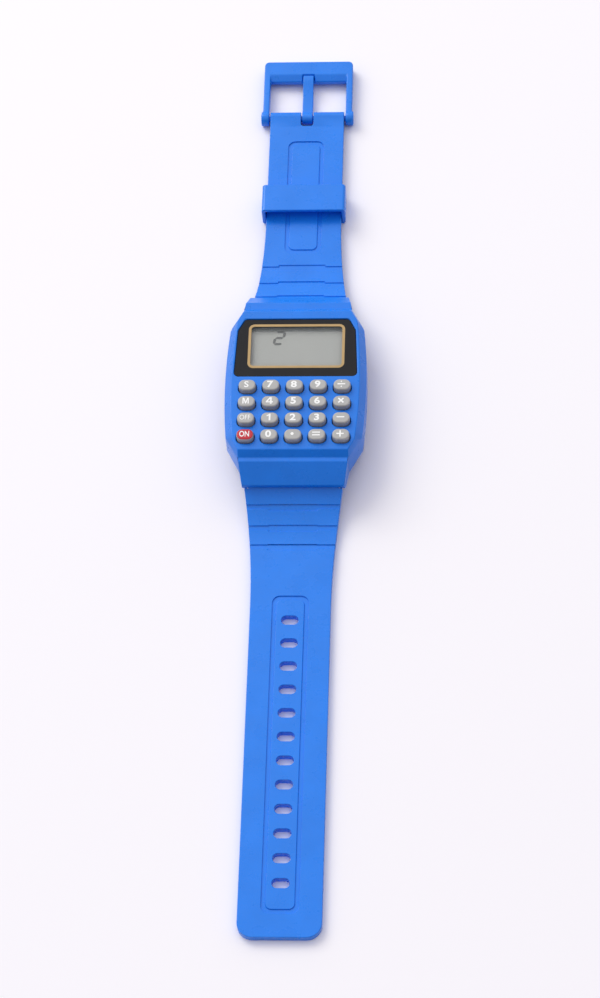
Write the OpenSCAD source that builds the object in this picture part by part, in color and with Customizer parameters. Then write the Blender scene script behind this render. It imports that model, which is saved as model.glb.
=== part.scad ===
// Calculator wristwatch in moulded plastic, lying open and face up.
// Millimetres. The origin is the centre of the case back, +Z points out of the face,
// +Y points along the watch to the buckle, and the face reads upright when seen from -Y.

/* [Case] */
// Width of the case at its middle
case_width = 34.3; // [32:0.1:40]
// Length of the case body without its hoods
case_length = 42.8; // [40:0.1:48]
// Height of the case from its back to its face
case_height = 8.5; // [8:0.1:11]
// Wall thickness of the case
case_wall = 1.4; // [1.2:0.1:1.8]
// Thickness of the face plate over the keys
face_thickness = 1.6; // [1.2:0.1:2]
// Radius of the slight bow of the case sides
side_bow_radius = 160; // [120:1:400]
// Distance from the case centre to each cut corner
corner_reach = 21.6; // [21:0.05:24]
// Angle of the cut corners from the length of the case
corner_angle = 27.6; // [24:0.1:32]
// Width of the sloped edge along the sides of the face
side_bevel = 1.6; // [0.6:0.1:2]
// Width of the sloped edge along the cut corners
corner_bevel = 0.8; // [0.4:0.1:1.4]
// Height of the sloped edge along the sides
bevel_height = 2.3; // [1:0.1:3]
// Height of the sloped edge along the cut corners
corner_bevel_height = 1.95; // [1:0.05:3]
// Length of the flat face
face_length = 39.4; // [38:0.1:42]
// Height of the step between the face and the ledges
step_height = 1.55; // [1:0.05:2]
// Run of the step between the face and the ledges
step_run = 1.45; // [0.5:0.05:1.6]

/* [Hoods] */
// Reach of each hood beyond the case body
hood_reach = 5.5; // [5:0.1:7]
// Width of a hood at its outer end
hood_end_width = 24.5; // [23.5:0.1:27]
// Width of a hood where it meets the case body
hood_root_width = 26.4; // [26:0.1:29]
// Length of the ledge on the lower strap's side, past the step
near_ledge = 1.0; // [0.6:0.1:1.6]
// Length of the ledge on the buckle's side, past the step
far_ledge = 2.0; // [0.6:0.1:2.4]
// Height of the hood's outer edge above the case back
hood_edge_height = 3.65; // [3.4:0.05:4.2]
// Height of the end face under the hood's outer edge
hood_lip = 1.1; // [0.8:0.05:1.3]
// Angle at which the hood's underside falls
hood_angle = 33; // [30:0.5:35]
// Thickness of a hood's side walls
hood_wall = 1.2; // [1:0.1:1.6]
// Extra depth of the case's end wall behind a hood's pocket
pocket_wall = 0.7; // [0.5:0.1:1]
// Radius of the rounded cheeks round a spring bar
cheek_radius = 2.4; // [2.2:0.05:2.5]
// Diameter of a spring bar's tips
bar_tip_diameter = 0.9; // [0.7:0.05:1]
// Length of a spring bar's tips
bar_tip_length = 0.8; // [0.6:0.05:0.9]

/* [Display] */
// Width of the black mask at its lower edge
mask_low_width = 29.7; // [28:0.1:30]
// Width of the black mask at its shoulders
mask_shoulder_width = 28.6; // [26:0.1:29]
// Width of the black mask at its upper edge
mask_top_width = 25.3; // [24:0.1:26]
// Height of the black mask along the watch
mask_height = 16.4; // [15:0.1:16.6]
// Height of the mask's shoulders above its lower edge
mask_shoulder_height = 13.2; // [12:0.1:14]
// Distance from the case centre to the mask's lower edge
mask_start = 0.95; // [0.8:0.05:1.2]
// Rounding of the mask's lower corners
mask_corner = 1.2; // [0.5:0.1:2]
// Thickness of the mask
mask_thickness = 0.25; // [0.15:0.05:0.35]
// Depth of the mask's top below the face
mask_sink = 0.3; // [0.1:0.05:0.4]
// Thickness of the clear lens
lens_thickness = 0.6; // [0.4:0.05:0.7]
// Width of the window inside the gold line
window_width = 22.2; // [20:0.1:23]
// Height of the window inside the gold line
window_height = 11.3; // [10:0.1:12]
// Distance from the mask's lower edge to the window's lower edge
window_offset = 3.1; // [2.6:0.1:3.6]
// Rounding of the window's corners
window_corner = 0.8; // [0.4:0.1:1.5]
// Width of the gold line
border_width = 0.65; // [0.4:0.05:0.9]
// Thickness of the gold line
border_thickness = 0.12; // [0.08:0.01:0.16]
// Width of the display glass
glass_width = 27; // [25:0.1:27.4]
// Height of the front display glass along the watch
glass_height = 14.6; // [13.5:0.1:15]
// Thickness of each display glass
glass_thickness = 0.6; // [0.5:0.05:0.7]
// Thickness of each film on the display glass
film_thickness = 0.15; // [0.1:0.01:0.2]
// Width of the rubber connector strip
connector_width = 1.4; // [1:0.1:1.6]
// Distance from the rubber connector strip to the rear glass
connector_gap = 0.5; // [0.3:0.05:0.8]
// Distance from the edges of the display glass to its films
film_margin = 0.4; // [0.2:0.1:1]
// Distance from the edges of the display glass to the foam and the connector
foam_margin = 1.5; // [1:0.1:3]

/* [Keys] */
// Width of a key across the watch
key_width = 4.1; // [3.6:0.1:4.3]
// Length of a key along the watch
key_length = 3.05; // [2.6:0.05:3.2]
// Corner radius of a key
key_corner = 1.3; // [0.6:0.05:1.4]
// Height of the keys above the face
key_rise = 1.5; // [0.8:0.1:2]
// Height of the sloped rim round a key's top
key_rim = 0.35; // [0.2:0.05:0.5]
// Distance between key columns
key_pitch_x = 5.72; // [5.6:0.01:5.8]
// Distance between key rows
key_pitch_y = 4.65; // [4.55:0.01:4.7]
// Distance from the case centre to the middle of the top row
key_row_start = 2.45; // [2.3:0.05:2.7]
// Travel of a key
key_travel = 0.4; // [0.2:0.05:0.5]
// Gap between a key and its opening
key_gap = 0.2; // [0.1:0.05:0.25]
// Reach of a key's flange under the face plate
key_flange = 0.2; // [0.1:0.05:0.25]
// Thickness of a key's flange
flange_thickness = 0.65; // [0.4:0.05:0.7]
// Width of a key's contact foot
foot_width = 2.4; // [1.8:0.1:2.6]
// Length of a key's contact foot
foot_length = 1.8; // [1.4:0.1:2]
// Thickness of the plated contact under a key
pad_thickness = 0.1; // [0.05:0.01:0.15]
// Play of a key between its stops
key_play = 0.05; // [0.03:0.01:0.1]

/* [Movement] */
// Thickness of the back cover
cover_thickness = 1.0; // [0.8:0.05:1.3]
// Width of the shelf that the back cover seats on
cover_shelf = 0.7; // [0.5:0.05:0.9]
// Diameter of the button cell
cell_diameter = 11.6; // [9.5:0.1:12]
// Thickness of the button cell
cell_thickness = 3.05; // [2.1:0.05:3.1]
// Diameter of the button cell's cap
cap_diameter = 9.6; // [7:0.1:9.8]
// Height of the button cell's cap
cap_height = 0.35; // [0.2:0.05:0.5]
// Distance from the case centre to the button cell's centre
cell_offset = 9; // [8:0.1:10]
// Thickness of the circuit board
board_thickness = 0.8; // [0.6:0.05:1]
// Thickness of the two sheet-metal cell contacts
contact_thickness = 0.1; // [0.08:0.01:0.15]
// Width of the two sheet-metal cell contacts
contact_width = 3; // [2:0.1:4]
// Height of the contact that rests on the cell's side
contact_drop = 2.5; // [1.5:0.1:2.9]
// Length of that contact under the board
contact_reach = 2.5; // [1:0.1:3]
// Thickness of the rubber key mat
mat_thickness = 0.4; // [0.3:0.05:0.5]
// Diameter of the resin drop over the chip
chip_diameter = 7; // [5:0.1:8]
// Height of the resin drop over the chip
chip_height = 1; // [0.6:0.1:1.5]
// Distance from the case centre to the chip's centre
chip_offset = 9; // [8:0.1:10]
// Diameter of the crystal's can
crystal_diameter = 2; // [1.5:0.1:2.2]
// Length of the crystal's can
crystal_length = 6; // [4:0.1:6.5]
// Sideways distance of the crystal from the chip
crystal_offset = 9; // [6:0.1:10]
// Distance from the case's side to a back screw's centre
screw_inset = 2.95; // [2.85:0.05:3.15]
// Lengthways distance of the back screws from the case centre
screw_y = 10; // [8:0.1:11]
// Diameter of a back screw's shank
screw_diameter = 1.0; // [0.8:0.1:1.2]
// Diameter of a back screw's head
screw_head_diameter = 2.0; // [1.6:0.1:2.1]
// Height of a back screw's head
screw_head_height = 0.5; // [0.4:0.05:0.6]
// Length of a back screw under its head
screw_length = 2.1; // [1.5:0.1:2.3]
// Width of a back screw's cross recess
recess_width = 0.3; // [0.2:0.05:0.4]
// Length of a back screw's cross recess
recess_length = 1.2; // [0.8:0.1:1.4]
// Depth of a back screw's cross recess
recess_depth = 0.25; // [0.1:0.05:0.3]
// Wall round a back screw in its post
post_wall = 0.8; // [0.6:0.05:1]

/* [Strap] */
// Width of the strap past its flare
strap_width = 19; // [18:0.1:20]
// Thickness of the strap
strap_thickness = 2; // [1.6:0.1:2.2]
// Width of the strap where it leaves a hood
strap_root_width = 23.4; // [22.5:0.1:24]
// Distance from the case centre to the end of the lower strap's flare
lower_flare_end = 57; // [50:0.5:65]
// Distance from the case centre to the end of the upper strap's flare
upper_flare_end = 53; // [50:0.5:53]
// Distance from the case centre to the lower strap's tip
lower_tip = 139.2; // [134:0.2:150]
// Corner radius of the lower strap's tip
tip_corner = 3.5; // [1:0.1:6]
// Diameter of the strap's knuckle round its spring bar
knuckle_diameter = 3.2; // [3:0.1:3.4]
// Height of the case back above the surface that the straps lie on
case_lift = 4; // [3.6:0.1:4.6]
// Height of the upper strap above that surface
upper_strap_lift = 0.8; // [0.8:0.05:1.2]
// Distance from the case centre to the lower strap's first rib line
lower_rib_start = 30.7; // [30:0.1:32]
// Distance between the lower strap's rib lines
lower_rib_pitch = 4.85; // [4:0.05:5.5]
// Distance from the case centre to the upper strap's first rib line
upper_rib_start = 28.8; // [28.4:0.1:30]
// Distance between the upper strap's rib lines
upper_rib_pitch = 5.1; // [4:0.05:5.5]
// Number of rib lines on each strap
rib_count = 3; // [1:1:3]
// Width of a rib line at the strap's sides
rib_line_width = 1.0; // [0.5:0.05:1.2]
// Depth of a rib line
rib_line_depth = 0.25; // [0.1:0.05:0.5]
// Length of a rib line's wider middle stretch
rib_middle_length = 11.6; // [6:0.1:14]
// Width of a rib line at its middle stretch
rib_middle_width = 1.6; // [1:0.05:2]
// Distance by which the middle stretch starts nearer to the case
rib_middle_lead = 0.15; // [0:0.05:0.3]
// Number of buckle slots
slot_count = 12; // [6:1:12]
// Distance between buckle slots
slot_pitch = 6.02; // [5:0.01:6.1]
// Distance from the case centre to the first buckle slot
slot_start = 60.1; // [59:0.1:62]
// Length of a buckle slot across the strap
slot_length = 4.1; // [3.6:0.1:5]
// Width of a buckle slot along the strap
slot_width = 2.35; // [2.1:0.05:2.6]
// Width of the sunk outline on the lower strap
lower_panel_width = 8.1; // [7:0.1:10]
// Distance from the case centre to the start of the lower outline
lower_panel_start = 53.9; // [52:0.1:56]
// Distance from the case centre to the end of the lower outline
lower_panel_end = 133.3; // [130:0.1:134]
// Width of the sunk outline on the upper strap
upper_panel_width = 8.6; // [7:0.1:10]
// Distance from the case centre to the start of the upper outline
upper_panel_start = 43.9; // [42:0.1:46]
// Distance from the case centre to the end of the upper outline
upper_panel_end = 78.2; // [74:0.1:80]
// Width of the sunk line
panel_line_width = 1.0; // [0.5:0.05:1.5]
// Depth of the sunk line
panel_line_depth = 0.3; // [0.1:0.05:0.5]
// Corner radius of the sunk outlines
panel_corner = 1.6; // [1.2:0.1:2.5]

/* [Buckle] */
// Distance from the case centre to the buckle pin
pin_distance = 86.4; // [85:0.1:90]
// Diameter of the buckle pin and of the spring bars
pin_diameter = 1.5; // [1.2:0.05:1.6]
// Diameter of the strap's end round the buckle pin
end_diameter = 3.4; // [3.2:0.05:3.6]
// Corner radius of the upper strap's end
end_corner = 0.5; // [0.2:0.1:1]
// Width of the strap's notch for the tongue
notch_width = 3.3; // [3.25:0.05:4.4]
// Depth of the notch behind the buckle pin
notch_depth = 3; // [2.4:0.05:3.2]
// Corner radius of the notch
notch_corner = 0.8; // [0.5:0.05:1]
// Length of the slope from the strap's top up to its end
end_slope = 3.3; // [3:0.1:4]
// Width of the buckle frame
frame_width = 23; // [22.9:0.1:25]
// Width over the frame's pin bosses
boss_width = 23.8; // [23.6:0.1:25.6]
// Diameter of the frame's pin bosses
boss_diameter = 3.6; // [3.2:0.05:3.6]
// Plastic left beyond each end of the pin's bore
boss_cover = 0.5; // [0.3:0.05:0.8]
// Height of the frame's underside above the surface that the straps lie on
frame_lift = 0.3; // [0.2:0.05:0.6]
// Reach of the buckle frame beyond the pin
frame_reach = 17.4; // [16:0.1:20]
// Width of the frame's arms
arm_width = 1.6; // [1.4:0.05:1.8]
// Thickness of the frame's arms
arm_thickness = 2.4; // [1.8:0.1:2.4]
// Length of the frame's cross bar
bar_length = 6; // [5:0.1:7]
// Thickness of the frame's cross bar
bar_thickness = 3.2; // [2.8:0.1:3.6]
// Length of the sloped edge on the cross bar
slope_length = 1.8; // [1.4:0.1:2.4]
// Height of the sloped edge on the cross bar
slope_height = 0.9; // [0.6:0.05:1]
// Thickness of the cross bar under its sloped edge
lip_thickness = 1.2; // [1:0.05:1.3]
// Depth of the tongue's seat in the cross bar
seat_depth = 1.1; // [1:0.05:1.4]
// Corner radius of the frame
frame_corner = 1.2; // [0.5:0.1:2]
// Width of the tongue
tongue_width = 2.7; // [2.4:0.05:2.75]
// Thickness of the tongue
tongue_thickness = 1.1; // [1:0.05:1.3]
// Diameter of the tongue's eye
eye_diameter = 3.0; // [2.8:0.05:3.2]
// Length of the tongue's sloped stretch
tongue_slope = 3; // [2:0.1:4]
// Length of the tongue's flat tip
tongue_flat = 2.6; // [2.3:0.1:3]
// Size of the sloped edge at the tongue's tip
tongue_chamfer = 0.3; // [0.1:0.05:0.5]
// Gap between the tongue's tip and its seat
tongue_play = 0.05; // [0.03:0.01:0.1]

/* [Keeper] */
// Length of the keeper along the strap
keeper_length = 8; // [5:0.1:9]
// Distance from the case centre to the keeper's near edge
keeper_start = 54.5; // [54.4:0.1:60]
// Wall thickness of the keeper's top and sides
keeper_wall = 0.95; // [0.8:0.05:1.2]
// Thickness of the keeper's floor under the strap
keeper_floor = 0.7; // [0.6:0.05:0.7]
// Corner radius of the keeper's outer edges
keeper_corner = 0.8; // [0.4:0.1:1]

/* [Clearances] */
// Running clearance on the radius of a hinge pin
pin_clearance = 0.05; // [0.02:0.01:0.1]
// Clearance on the radius of a fixed pin, post or screw
fixed_clearance = 0.02; // [0.01:0.01:0.05]
// Gap between moving plastic pieces
moving_gap = 0.3; // [0.25:0.01:0.35]
// Gap between a moving piece and the walls beside it
side_gap = 0.2; // [0.15:0.01:0.25]
// Gap round pieces that are seated in the case
seat_gap = 0.1; // [0.05:0.01:0.15]
// Gap between the strap and the keeper
keeper_gap = 0.1; // [0.08:0.01:0.15]

/* [Hidden] */
$fn = 48;
fine = 96;
bow_fn = 360;
over = 1;
bend_steps = 16;
thin_slice = 0.02;

blue = [0.16, 0.42, 0.88];
blue_deep = [0.10, 0.33, 0.76];
key_grey = [0.62, 0.62, 0.62];
key_red = [0.75, 0.10, 0.16];
mask_black = [0.10, 0.10, 0.11];
gold = [0.80, 0.66, 0.38];
steel = [0.72, 0.73, 0.75];
glass_tint = [0.75, 0.80, 0.78, 0.5];
film_grey = [0.66, 0.68, 0.66];
board_green = [0.10, 0.38, 0.22];
rubber_grey = [0.45, 0.45, 0.47];
black = [0.08, 0.08, 0.08];
white = [0.90, 0.90, 0.88];
copper = [0.85, 0.62, 0.30];

key_names = [
    ["s", "7", "8", "9", "divide"],
    ["m", "4", "5", "6", "multiply"],
    ["off", "1", "2", "3", "minus"],
    ["on", "0", "point", "equals", "plus"]
];
key_rows = len(key_names);
key_columns = len(key_names[0]);
key_spots = [for (r = [0 : key_rows - 1]) for (c = [0 : key_columns - 1]) [c, r]];
function key_node(spot) = str("key_", key_names[spot[1]][spot[0]]);
function key_x(spot) = (spot[0] - (key_columns - 1) / 2) * key_pitch_x;
function key_y(spot) = -key_row_start - spot[1] * key_pitch_y;

// Points along an arc
function arc(centre, radius, from, to) =
    [for (i = [0 : bend_steps])
        let(a = from + (to - from) * i / bend_steps)
        centre + radius * [cos(a), sin(a)]];

// Case levels and lengths
body_end = case_length / 2;
wall_top = case_height - bevel_height;
ledge_height = case_height - step_height;
step_end = face_length / 2 + step_run;
hood_end = body_end + hood_reach;
inside_top = case_height - face_thickness;
hood_inside = hood_end_width / 2 - hood_wall;

// Hood underside: a line through the bottom of the lip, falling outwards
lip_bottom = hood_edge_height - hood_lip;
function underside(y) = lip_bottom + (hood_end - y) * tan(hood_angle);

// Spring bar: the knuckle lies one gap under the hood and one gap off the body's end
knuckle_radius = knuckle_diameter / 2;
hood_bar_y = body_end + pocket_wall + knuckle_radius + moving_gap;
hood_bar_z = underside(hood_bar_y) - (knuckle_radius + moving_gap) / cos(hood_angle);
shoulder_radius = cheek_radius + moving_gap;
bar_radius = pin_diameter / 2;
bar_tip_radius = bar_tip_diameter / 2;

// Stack from the back to the face
cell_bottom = cover_thickness + seat_gap;
board_bottom = cell_bottom + cell_thickness + contact_thickness;
board_top = board_bottom + board_thickness;
mat_top = board_top + mat_thickness;
flange_top = inside_top - key_play;
flange_bottom = flange_top - flange_thickness;
foot_bottom = board_top + pad_thickness + key_travel + key_play;
mask_top = case_height - mask_sink;
lens_top = mask_top - mask_thickness;
lens_bottom = lens_top - lens_thickness;
film_top = inside_top;
front_glass_top = film_top - film_thickness;
rear_glass_top = front_glass_top - glass_thickness;
reflector_top = rear_glass_top - glass_thickness;
foam_top = reflector_top - film_thickness;
glass_middle = mask_start + window_offset + window_height / 2;
glass_overhang = connector_width + connector_gap;

// Board, frame and cover
module_gap = 2 * seat_gap;
post_radius = screw_diameter / 2 + post_wall;
post_top = board_bottom - seat_gap;
screw_x = case_width / 2 - screw_inset;
screw_bore = screw_diameter / 2 + fixed_clearance;
head_bore = screw_head_diameter / 2 + seat_gap;
screw_end = screw_head_height + screw_length;

// Strap levels, from the case back down to the surface
ground = -case_lift;
lower_strap_top = ground + strap_thickness;
upper_strap_top = ground + upper_strap_lift + strap_thickness;
strap_middle_height = ground + upper_strap_lift + strap_thickness / 2;
pin_height = max(strap_middle_height, ground + boss_diameter / 2);
shoulder_half = hood_inside - side_gap;

// The strap leaves its knuckle parallel to the hood's underside and bends onto its flat stretch
exit_y = hood_end;
knuckle_step = 0.1;
exit_top = underside(exit_y) - (moving_gap + knuckle_step) / cos(hood_angle);
function bend_radius(top) = (exit_top - top) / (1 - cos(hood_angle));
function bend_end(top) = exit_y + bend_radius(top) * sin(hood_angle);
function strap_half(y, flare_end) =
    let(share = max(0, flare_end - y) / (flare_end - exit_y))
    strap_width / 2 + (strap_root_width - strap_width) / 2 * share * share;
function bend_height(y, top) =
    let(r = bend_radius(top), d = max(0, bend_end(top) - y)) top + r - sqrt(r * r - d * d);

// Keeper and buckle
keeper_inside_half = strap_width / 2 + keeper_gap;
keeper_inside_bottom = ground + upper_strap_lift - keeper_gap;
keeper_inside_top = upper_strap_top + strap_thickness + moving_gap;
keeper_half = keeper_inside_half + keeper_wall;
frame_inside_half = frame_width / 2 - arm_width;
frame_bottom = ground + frame_lift;
frame_end = pin_distance + frame_reach;
bar_start = frame_end - bar_length;
bar_top = frame_bottom + bar_thickness;
bar_edge_top = bar_top - slope_height;
seat_end = bar_start + slope_length;
tongue_tip = seat_end - side_gap;
tongue_rest = bar_top - seat_depth + tongue_play;
tongue_low = pin_height - tongue_thickness / 2;
slope_end = tongue_tip - tongue_flat;
slope_start = slope_end - tongue_slope;
pin_bore_length = boss_width - 2 * boss_cover;

// Rectangle with rounded corners, centred
module rounded_rectangle(width, length, radius) {
    union() {
        square([width - 2 * radius, length], center = true);
        square([width, length - 2 * radius], center = true);
        for (x = [-1, 1], y = [-1, 1])
            translate([x * (width / 2 - radius), y * (length / 2 - radius)]) circle(r = radius);
    }
}

// Turns a side view drawn as (distance along the watch, height) into a solid across the watch
module across(half_width) {
    rotate([90, 0, 90]) linear_extrude(2 * half_width, center = true) children();
}

// Solid between two bowed sides with a sloped upper edge
module bowed_sides(inset, bevel) {
    radius = side_bow_radius - inset;
    shift = side_bow_radius - case_width / 2;
    intersection_for (s = [-1, 1])
        translate([s * shift, 0, 0])
            rotate([0, 0, 90])
                rotate_extrude($fn = bow_fn)
                    polygon([
                        [0, 0],
                        [radius, 0],
                        [radius, wall_top],
                        [radius - bevel, case_height],
                        [0, case_height]
                    ]);
}

// Solid between two opposite cut corners with a sloped upper edge
module cut_corners(angle, inset, bevel) {
    reach = corner_reach - inset;
    bevel_start = case_height - corner_bevel_height;
    rotate([0, 0, angle])
        rotate([90, 0, 0])
            linear_extrude(2 * case_length, center = true)
                polygon([
                    [-reach, 0],
                    [reach, 0],
                    [reach, bevel_start],
                    [reach - bevel, case_height],
                    [bevel - reach, case_height],
                    [-reach, bevel_start]
                ]);
}

// Case body, as its outer form or moved inwards by an inset
module case_body(inset = 0, side = 0, corner = 0) {
    intersection() {
        bowed_sides(inset, side);
        cut_corners(corner_angle, inset, corner);
        cut_corners(-corner_angle, inset, corner);
        children();
    }
}

// Slice of the case body between two levels, moved inwards by an inset
module body_slice(inset, bottom, top) {
    case_body(inset)
        translate([0, 0, (bottom + top) / 2])
            cube([2 * case_width, 2 * (body_end - inset), top - bottom], center = true);
}

// Side view of the case body with its steps
module body_side_view() {
    polygon([
        [-body_end, 0],
        [body_end, 0],
        [body_end, ledge_height],
        [step_end, ledge_height],
        [face_length / 2, case_height],
        [-face_length / 2, case_height],
        [-step_end, ledge_height],
        [-body_end, ledge_height]
    ]);
}

// One hood: roof, end lip and the cheeks that hold the spring bar
module hood(ledge) {
    inner = body_end - 2 * case_wall;
    intersection() {
        linear_extrude(case_height)
            polygon([
                [-hood_root_width / 2, inner],
                [hood_root_width / 2, inner],
                [hood_root_width / 2, body_end],
                [hood_end_width / 2, hood_end],
                [-hood_end_width / 2, hood_end],
                [-hood_root_width / 2, body_end]
            ]);
        across(case_width) intersection() {
            union() {
                polygon([
                    [inner, 0],
                    [hood_bar_y, 0],
                    [hood_bar_y, underside(hood_bar_y)],
                    [hood_end, lip_bottom],
                    [hood_end, hood_edge_height],
                    [step_end + ledge, ledge_height],
                    [inner, ledge_height]
                ]);
                translate([hood_bar_y, hood_bar_z]) circle(r = cheek_radius, $fn = fine);
            }
            translate([inner, 0]) square([hood_end - inner, case_height]);
        }
    }
}

// Space under a hood for the strap's knuckle
module hood_pocket() {
    pocket_start = hood_bar_y - knuckle_radius - moving_gap;
    across(hood_inside)
        polygon([
            [pocket_start, -over],
            [pocket_start, underside(pocket_start)],
            [hood_end + over, underside(hood_end + over)],
            [hood_end + over, -over]
        ]);
}

// Bores for the two tips of one spring bar
module bar_tip_bores() {
    depth = hood_inside + bar_tip_length + seat_gap;
    translate([0, hood_bar_y, hood_bar_z])
        rotate([0, 90, 0])
            cylinder(r = bar_tip_radius + fixed_clearance, h = 2 * depth, center = true, $fn = fine);
}

// Outline of the black mask, moved outwards by a margin
module mask_outline(margin = 0) {
    low = mask_low_width / 2 + margin;
    shoulder = mask_shoulder_width / 2 + margin;
    top = mask_top_width / 2 + margin;
    union() {
        polygon([
            [-low + mask_corner, mask_start - margin],
            [low - mask_corner, mask_start - margin],
            [low, mask_start - margin + mask_corner],
            [shoulder, mask_start + mask_shoulder_height],
            [top, mask_start + mask_height + margin],
            [-top, mask_start + mask_height + margin],
            [-shoulder, mask_start + mask_shoulder_height],
            [-low, mask_start - margin + mask_corner]
        ]);
        for (s = [-1, 1])
            translate([s * (low - mask_corner), mask_start - margin + mask_corner])
                circle(r = mask_corner);
    }
}

// Outline of the display window, moved outwards by a margin
module window_outline(margin = 0) {
    translate([0, glass_middle])
        rounded_rectangle(window_width + 2 * margin, window_height + 2 * margin, window_corner + margin);
}

// Flat outline of a key, moved outwards by a margin
module key_outline(margin = 0) {
    rounded_rectangle(key_width + 2 * margin, key_length + 2 * margin, key_corner + margin);
}

// Front shell with display recess, key openings, hoods and screw bosses
module case_shell() {
    color(blue) difference() {
        union() {
            case_body(0, side_bevel, corner_bevel) across(case_width) body_side_view();
            hood(far_ledge);
            mirror([0, 1, 0]) hood(near_ledge);
        }
        difference() {
            body_slice(case_wall, -over, inside_top);
            screw_bosses();
        }
        body_slice(case_wall - cover_shelf, -over, cover_thickness);
        translate([0, 0, lens_bottom]) linear_extrude(case_height) mask_outline(seat_gap);
        translate([0, 0, inside_top - over]) linear_extrude(case_height) window_outline(border_width);
        for (spot = key_spots)
            translate([key_x(spot), key_y(spot), inside_top - over])
                linear_extrude(case_height) key_outline(key_gap);
        for (side = [0, 1]) mirror([0, side, 0]) {
            hood_pocket();
            bar_tip_bores();
        }
    }
}

// Posts for the back screws, joined to the side walls
module screw_bosses() {
    for (x = [-1, 1], y = [-1, 1])
        translate([x * screw_x, y * screw_y, cover_thickness]) difference() {
            union() {
                cylinder(r = post_radius, h = post_top - cover_thickness);
                translate([x > 0 ? 0 : -case_wall, -post_radius, 0])
                    cube([case_wall, 2 * post_radius, post_top - cover_thickness]);
            }
            translate([0, 0, -over])
                cylinder(r = screw_bore, h = screw_end + seat_gap - cover_thickness + over, $fn = fine);
        }
}

// Back cover, seated in the shell's rebate
module back_cover() {
    color(blue_deep) difference() {
        body_slice(case_wall - cover_shelf + seat_gap, 0, cover_thickness);
        for (x = [-1, 1], y = [-1, 1])
            translate([x * screw_x, y * screw_y, 0]) {
                translate([0, 0, -over]) cylinder(r = screw_bore, h = cover_thickness + 2 * over, $fn = fine);
                translate([0, 0, -over])
                    cylinder(r = head_bore, h = screw_head_height + over, $fn = fine);
            }
    }
}

// Back screws with cross recesses
module back_screws() {
    recess = [recess_length, recess_width, 2 * recess_depth];
    color(steel) for (x = [-1, 1], y = [-1, 1])
        translate([x * screw_x, y * screw_y, 0]) difference() {
            union() {
                cylinder(d = screw_head_diameter, h = screw_head_height, $fn = fine);
                cylinder(d = screw_diameter, h = screw_end, $fn = fine);
            }
            cube(recess, center = true);
            rotate([0, 0, 90]) cube(recess, center = true);
        }
}

// Black mask with the window cut out
module display_mask() {
    color(mask_black) difference() {
        translate([0, 0, lens_top]) linear_extrude(mask_thickness) mask_outline();
        translate([0, 0, lens_top - over]) linear_extrude(mask_thickness + 2 * over) window_outline();
        translate([0, 0, mask_top - border_thickness])
            linear_extrude(over) window_outline(border_width);
    }
}

// Gold line round the window, set into the mask
module window_border() {
    color(gold) translate([0, 0, mask_top - border_thickness]) linear_extrude(border_thickness)
        difference() {
            window_outline(border_width);
            window_outline();
        }
}

// Clear lens under the mask
module display_lens() {
    color(glass_tint) translate([0, 0, lens_bottom]) linear_extrude(lens_thickness) mask_outline();
}

// Flat plate of the display cell, its upper edge pulled back by a cut
module cell_plate(bottom, thickness, margin, cut) {
    length = glass_height - 2 * margin - cut;
    translate([0, glass_middle - cut / 2, bottom + thickness / 2])
        cube([glass_width - 2 * margin, length, thickness], center = true);
}

// Polarising film on the front glass
module display_film() {
    color(film_grey) cell_plate(front_glass_top, film_thickness, film_margin, glass_overhang);
}

// Front glass, which overhangs the rear glass at its upper edge
module front_glass() {
    color(glass_tint) cell_plate(rear_glass_top, glass_thickness, 0, 0);
}

// Rear glass
module rear_glass() {
    color(glass_tint) cell_plate(reflector_top, glass_thickness, 0, glass_overhang);
}

// Reflector behind the rear glass
module display_reflector() {
    color(film_grey) cell_plate(foam_top, film_thickness, film_margin, glass_overhang);
}

// Foam pad between reflector and board
module display_foam() {
    color(white) cell_plate(board_top, foam_top - board_top, foam_margin, glass_overhang);
}

// Rubber strip that joins the front glass to the board
module zebra_connector() {
    glass_edge = glass_middle + glass_height / 2;
    color(rubber_grey)
        translate([0, glass_edge - connector_width / 2, (board_top + rear_glass_top) / 2])
            cube([glass_width - 2 * foam_margin, connector_width, rear_glass_top - board_top], center = true);
}

// Circuit board
module circuit_board() {
    color(board_green) body_slice(case_wall + module_gap, board_bottom, board_top);
}

// Gold-plated contact under each key
module contact_pads() {
    color(copper) for (spot = key_spots)
        translate([key_x(spot), key_y(spot), board_top + pad_thickness / 2])
            cube([foot_width, foot_length, pad_thickness], center = true);
}

// Rubber mat with an opening round each contact
module key_mat() {
    mat_gap = 2 * key_gap;
    mat_start = key_row_start - key_pitch_y / 2;
    color(rubber_grey) difference() {
        intersection() {
            body_slice(case_wall + module_gap, board_top, mat_top);
            translate([-case_width / 2, -case_length, 0])
                cube([case_width, case_length - mat_start, case_height]);
        }
        for (spot = key_spots)
            translate([key_x(spot), key_y(spot), board_top + mat_thickness / 2])
                cube([foot_width + mat_gap, foot_length + mat_gap, 2 * mat_thickness], center = true);
    }
}

// One key: cap with a sloped rim, flange under the face plate at two edges, and contact foot
module key_cap(spot) {
    cap_top = case_height + key_rise;
    rim_bottom = cap_top - key_rim;
    colour = key_node(spot) == "key_on" ? key_red : key_grey;
    color(colour) translate([key_x(spot), key_y(spot), 0]) union() {
        translate([0, 0, flange_bottom])
            linear_extrude(rim_bottom - flange_bottom) key_outline();
        hull() {
            translate([0, 0, rim_bottom - thin_slice]) linear_extrude(thin_slice) key_outline($fn = 32);
            translate([0, 0, cap_top - thin_slice])
                linear_extrude(thin_slice) key_outline(-key_rim, $fn = 32);
        }
        translate([0, 0, flange_bottom])
            linear_extrude(flange_thickness)
                rounded_rectangle(key_width, key_length + 2 * (key_gap + key_flange), key_corner);
        translate([-foot_width / 2, -foot_length / 2, foot_bottom])
            cube([foot_width, foot_length, flange_top - foot_bottom]);
    }
}

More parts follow.
